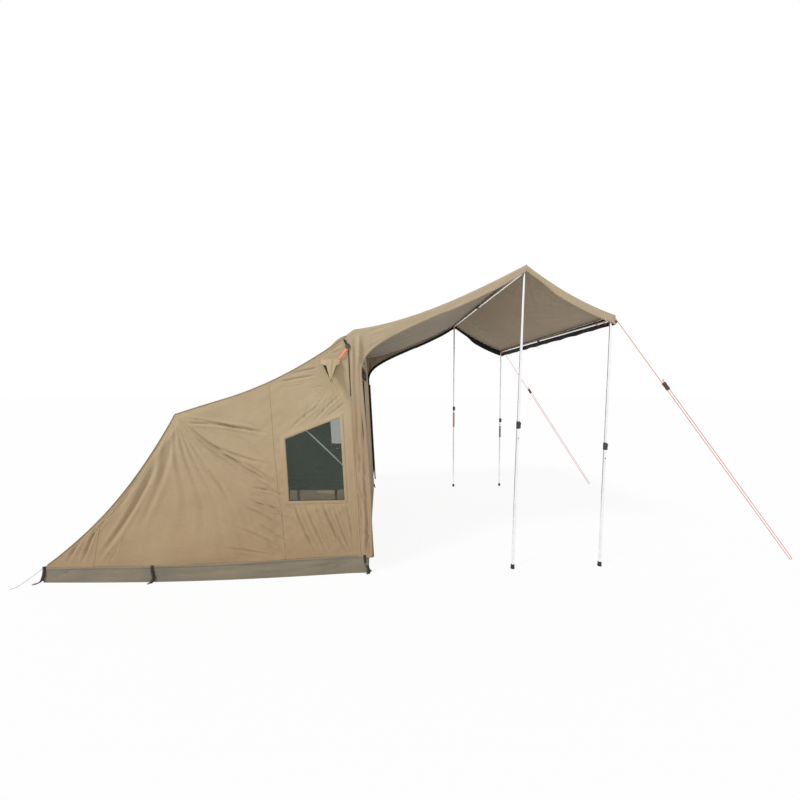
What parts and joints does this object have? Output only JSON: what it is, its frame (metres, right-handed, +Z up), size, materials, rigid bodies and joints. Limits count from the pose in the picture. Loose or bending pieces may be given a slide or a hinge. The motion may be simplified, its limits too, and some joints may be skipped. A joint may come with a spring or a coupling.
{
  "type": "camping tent",
  "caption": "Touring tent with a fold-down frame: canvas cabin on a tub floor, net door and windows, and a peaked open awning on telescopic legs with guy ropes.",
  "frame": {"origin": "on the ground under the middle of the cabin floor", "axes": "+X from the cabin towards the awning, +Y to the left of a person who looks out of the door, +Z up"},
  "size_m": [6.3563, 2.5611, 2.495],
  "materials": {
    "canvas": "woven cotton-polyester canvas, matt sand",
    "canvas_trim": "woven canvas, paler sand, matt",
    "awning_canvas": "woven canvas, matt sand, shaded side taupe",
    "tub_vinyl": "coated groundsheet fabric, satin grey beige",
    "netting": "fine insect netting, dark grey green",
    "frame_tube": "drawn aluminium tube, satin",
    "clamp_plastic": "moulded glass-filled nylon, matt black",
    "foot_rubber": "moulded rubber, matt black",
    "zip_metal": "cast zinc, satin",
    "guy_rope": "braided polyester rope, salmon red",
    "cord_grey": "braided cord, dark grey",
    "runner_plastic": "moulded plastic, dark red brown"
  },
  "bodies": {
    "tent_shell": {"tub_floor": "tub_vinyl", "roof_panel": "canvas", "rear_wall": "canvas", "side_wall_right": "canvas", "side_wall_left": "canvas", "front_wall": "canvas", "awning_side_right": "canvas_trim", "awning_side_left": "canvas_trim", "awning_back_slope": "awning_canvas", "awning_front_slope": "awning_canvas", "front_valance": "canvas_trim", "window_net_right": "netting", "window_net_left": "netting", "window_flap_right": "canvas_trim", "window_flap_left": "canvas_trim", "upright_right": "frame_tube", "upright_left": "frame_tube", "front_ridge_bar": "frame_tube", "ridge_spreader_outer": "frame_tube", "front_spreader_outer": "frame_tube", "guy_rope_right": "guy_rope", "guy_rope_left": "guy_rope", "rear_guy_cord": "cord_grey", "ridge_leg_right_upper": "frame_tube", "ridge_leg_left_upper": "frame_tube", "front_leg_right_upper": "frame_tube", "front_leg_left_upper": "frame_tube"},
    "roof_frame": {"roof_arm_right": "frame_tube", "roof_arm_left": "frame_tube", "mid_roof_bar": "frame_tube", "rear_ridge_bar": "frame_tube"},
    "strut_right": {"strut_right": "frame_tube"},
    "collar_right": {"strut_collar_right": "clamp_plastic"},
    "strut_left": {"strut_left": "frame_tube"},
    "collar_left": {"strut_collar_left": "clamp_plastic"},
    "ridge_leg_right": {"ridge_leg_right_lower": "frame_tube", "ridge_leg_right_clamp": "clamp_plastic", "ridge_leg_right_foot": "foot_rubber"},
    "ridge_leg_right_lever": {"ridge_leg_right_lever": "clamp_plastic"},
    "ridge_leg_left": {"ridge_leg_left_lower": "frame_tube", "ridge_leg_left_clamp": "clamp_plastic", "ridge_leg_left_foot": "foot_rubber"},
    "ridge_leg_left_lever": {"ridge_leg_left_lever": "clamp_plastic"},
    "front_leg_right": {"front_leg_right_lower": "frame_tube", "front_leg_right_clamp": "clamp_plastic", "front_leg_right_foot": "foot_rubber"},
    "front_leg_right_lever": {"front_leg_right_lever": "clamp_plastic"},
    "front_leg_left": {"front_leg_left_lower": "frame_tube", "front_leg_left_clamp": "clamp_plastic", "front_leg_left_foot": "foot_rubber"},
    "front_leg_left_lever": {"front_leg_left_lever": "clamp_plastic"},
    "ridge_spreader_inner": {"ridge_spreader_inner": "frame_tube"},
    "front_spreader_inner": {"front_spreader_inner": "frame_tube"},
    "vent_hood_right": {"vent_hood_right": "canvas"},
    "vent_hood_left": {"vent_hood_left": "canvas"},
    "door": {"door_panel": "netting"},
    "door_slider": {"door_zip_slider": "zip_metal"},
    "wing_slider": {"wing_zip_slider_right": "zip_metal"},
    "runner_right": {"rope_runner_right": "runner_plastic"},
    "runner_left": {"rope_runner_left": "runner_plastic"}
  },
  "joints": [
    {"name": "roof_fold", "type": "hinge", "parent": "tent_shell", "child": "roof_frame", "pos_m": [1.095, 0, 1.70951], "axis": [0, -1, 0], "range_deg": [0, 30]},
    {"name": "strut_turn_right", "type": "hinge", "parent": "roof_frame", "child": "strut_right", "pos_m": [0.40694, -1.137, 1.4914], "axis": [0, -1, 0], "range_deg": [-42.52, 0]},
    {"name": "collar_slide_right", "type": "slide", "parent": "tent_shell", "child": "collar_right", "axis": [0.0539, 0, -0.9985], "range_m": [0, 0.4605]},
    {"name": "strut_turn_left", "type": "hinge", "parent": "roof_frame", "child": "strut_left", "pos_m": [0.40694, 1.137, 1.4914], "axis": [0, -1, 0], "range_deg": [-42.52, 0]},
    {"name": "collar_slide_left", "type": "slide", "parent": "tent_shell", "child": "collar_left", "axis": [0.0539, 0, -0.9985], "range_m": [0, 0.4605]},
    {"name": "ridge_leg_right_slide", "type": "slide", "parent": "tent_shell", "child": "ridge_leg_right", "axis": [0.029, 0, 0.9996], "range_m": [0, 1.05]},
    {"name": "ridge_leg_right_lever_turn", "type": "hinge", "parent": "ridge_leg_right", "child": "ridge_leg_right_lever", "pos_m": [2.50176, -1.2, 1.21444], "axis": [0, -1, 0], "range_deg": [0, 100]},
    {"name": "ridge_leg_left_slide", "type": "slide", "parent": "tent_shell", "child": "ridge_leg_left", "axis": [0, 0, 1], "range_m": [0, 1.05]},
    {"name": "ridge_leg_left_lever_turn", "type": "hinge", "parent": "ridge_leg_left", "child": "ridge_leg_left_lever", "pos_m": [2.4865, 1.2, 1.215], "axis": [0, -1, 0], "range_deg": [0, 100]},
    {"name": "front_leg_right_slide", "type": "slide", "parent": "tent_shell", "child": "front_leg_right", "axis": [0.0295, 0, 0.9996], "range_m": [0, 0.85]},
    {"name": "front_leg_right_lever_turn", "type": "hinge", "parent": "front_leg_right", "child": "front_leg_right_lever", "pos_m": [3.24799, -1.2, 1.03143], "axis": [0, -1, 0], "range_deg": [0, 100]},
    {"name": "front_leg_left_slide", "type": "slide", "parent": "tent_shell", "child": "front_leg_left", "axis": [0.0044, 0, 1], "range_m": [0, 0.85]},
    {"name": "front_leg_left_lever_turn", "type": "hinge", "parent": "front_leg_left", "child": "front_leg_left_lever", "pos_m": [3.209, 1.2, 1.03191], "axis": [0, -1, 0], "range_deg": [0, 100]},
    {"name": "ridge_spreader_slide", "type": "slide", "parent": "tent_shell", "child": "ridge_spreader_inner", "axis": [-0.0212, 0.9998, 0], "range_m": [0, 1]},
    {"name": "front_spreader_slide", "type": "slide", "parent": "tent_shell", "child": "front_spreader_inner", "axis": [-0.0271, 0.9996, 0], "range_m": [0, 1]},
    {"name": "vent_hood_turn_right", "type": "hinge", "parent": "tent_shell", "child": "vent_hood_right", "pos_m": [0.9565, -1.2003, 1.735], "axis": [-1, 0, 0], "range_deg": [-24, 20]},
    {"name": "vent_hood_turn_left", "type": "hinge", "parent": "tent_shell", "child": "vent_hood_left", "pos_m": [0.9565, 1.2003, 1.735], "axis": [1, 0, 0], "range_deg": [-24, 20]},
    {"name": "door_turn", "type": "hinge", "parent": "tent_shell", "child": "door", "pos_m": [1.24112, 0.665, 0.17], "axis": [-0.0539, 0, 0.9985], "range_deg": [0, 95]},
    {"name": "door_zip_slide", "type": "slide", "parent": "tent_shell", "child": "door_slider", "axis": [-0.0539, 0, 0.9985], "range_m": [-0.12, 1.15]},
    {"name": "wing_zip_slide", "type": "slide", "parent": "tent_shell", "child": "wing_slider", "axis": [-0.0539, 0, 0.9985], "range_m": [-0.5, 0.8]},
    {"name": "runner_slide_right", "type": "slide", "parent": "tent_shell", "child": "runner_right", "axis": [0.6179, 0, -0.7863], "range_m": [0, 0.25]},
    {"name": "runner_slide_left", "type": "slide", "parent": "tent_shell", "child": "runner_left", "axis": [0.5566, 0, -0.8307], "range_m": [0, 0.25]}
  ],
  "couplings": [
    {"joint": "strut_turn_right", "follows": "roof_fold", "ratio": -1.4168},
    {"joint": "collar_slide_right", "follows": "roof_fold", "m_per_rad": 0.87928},
    {"joint": "strut_turn_left", "follows": "roof_fold", "ratio": -1.4168},
    {"joint": "collar_slide_left", "follows": "roof_fold", "m_per_rad": 0.87928}
  ]
}
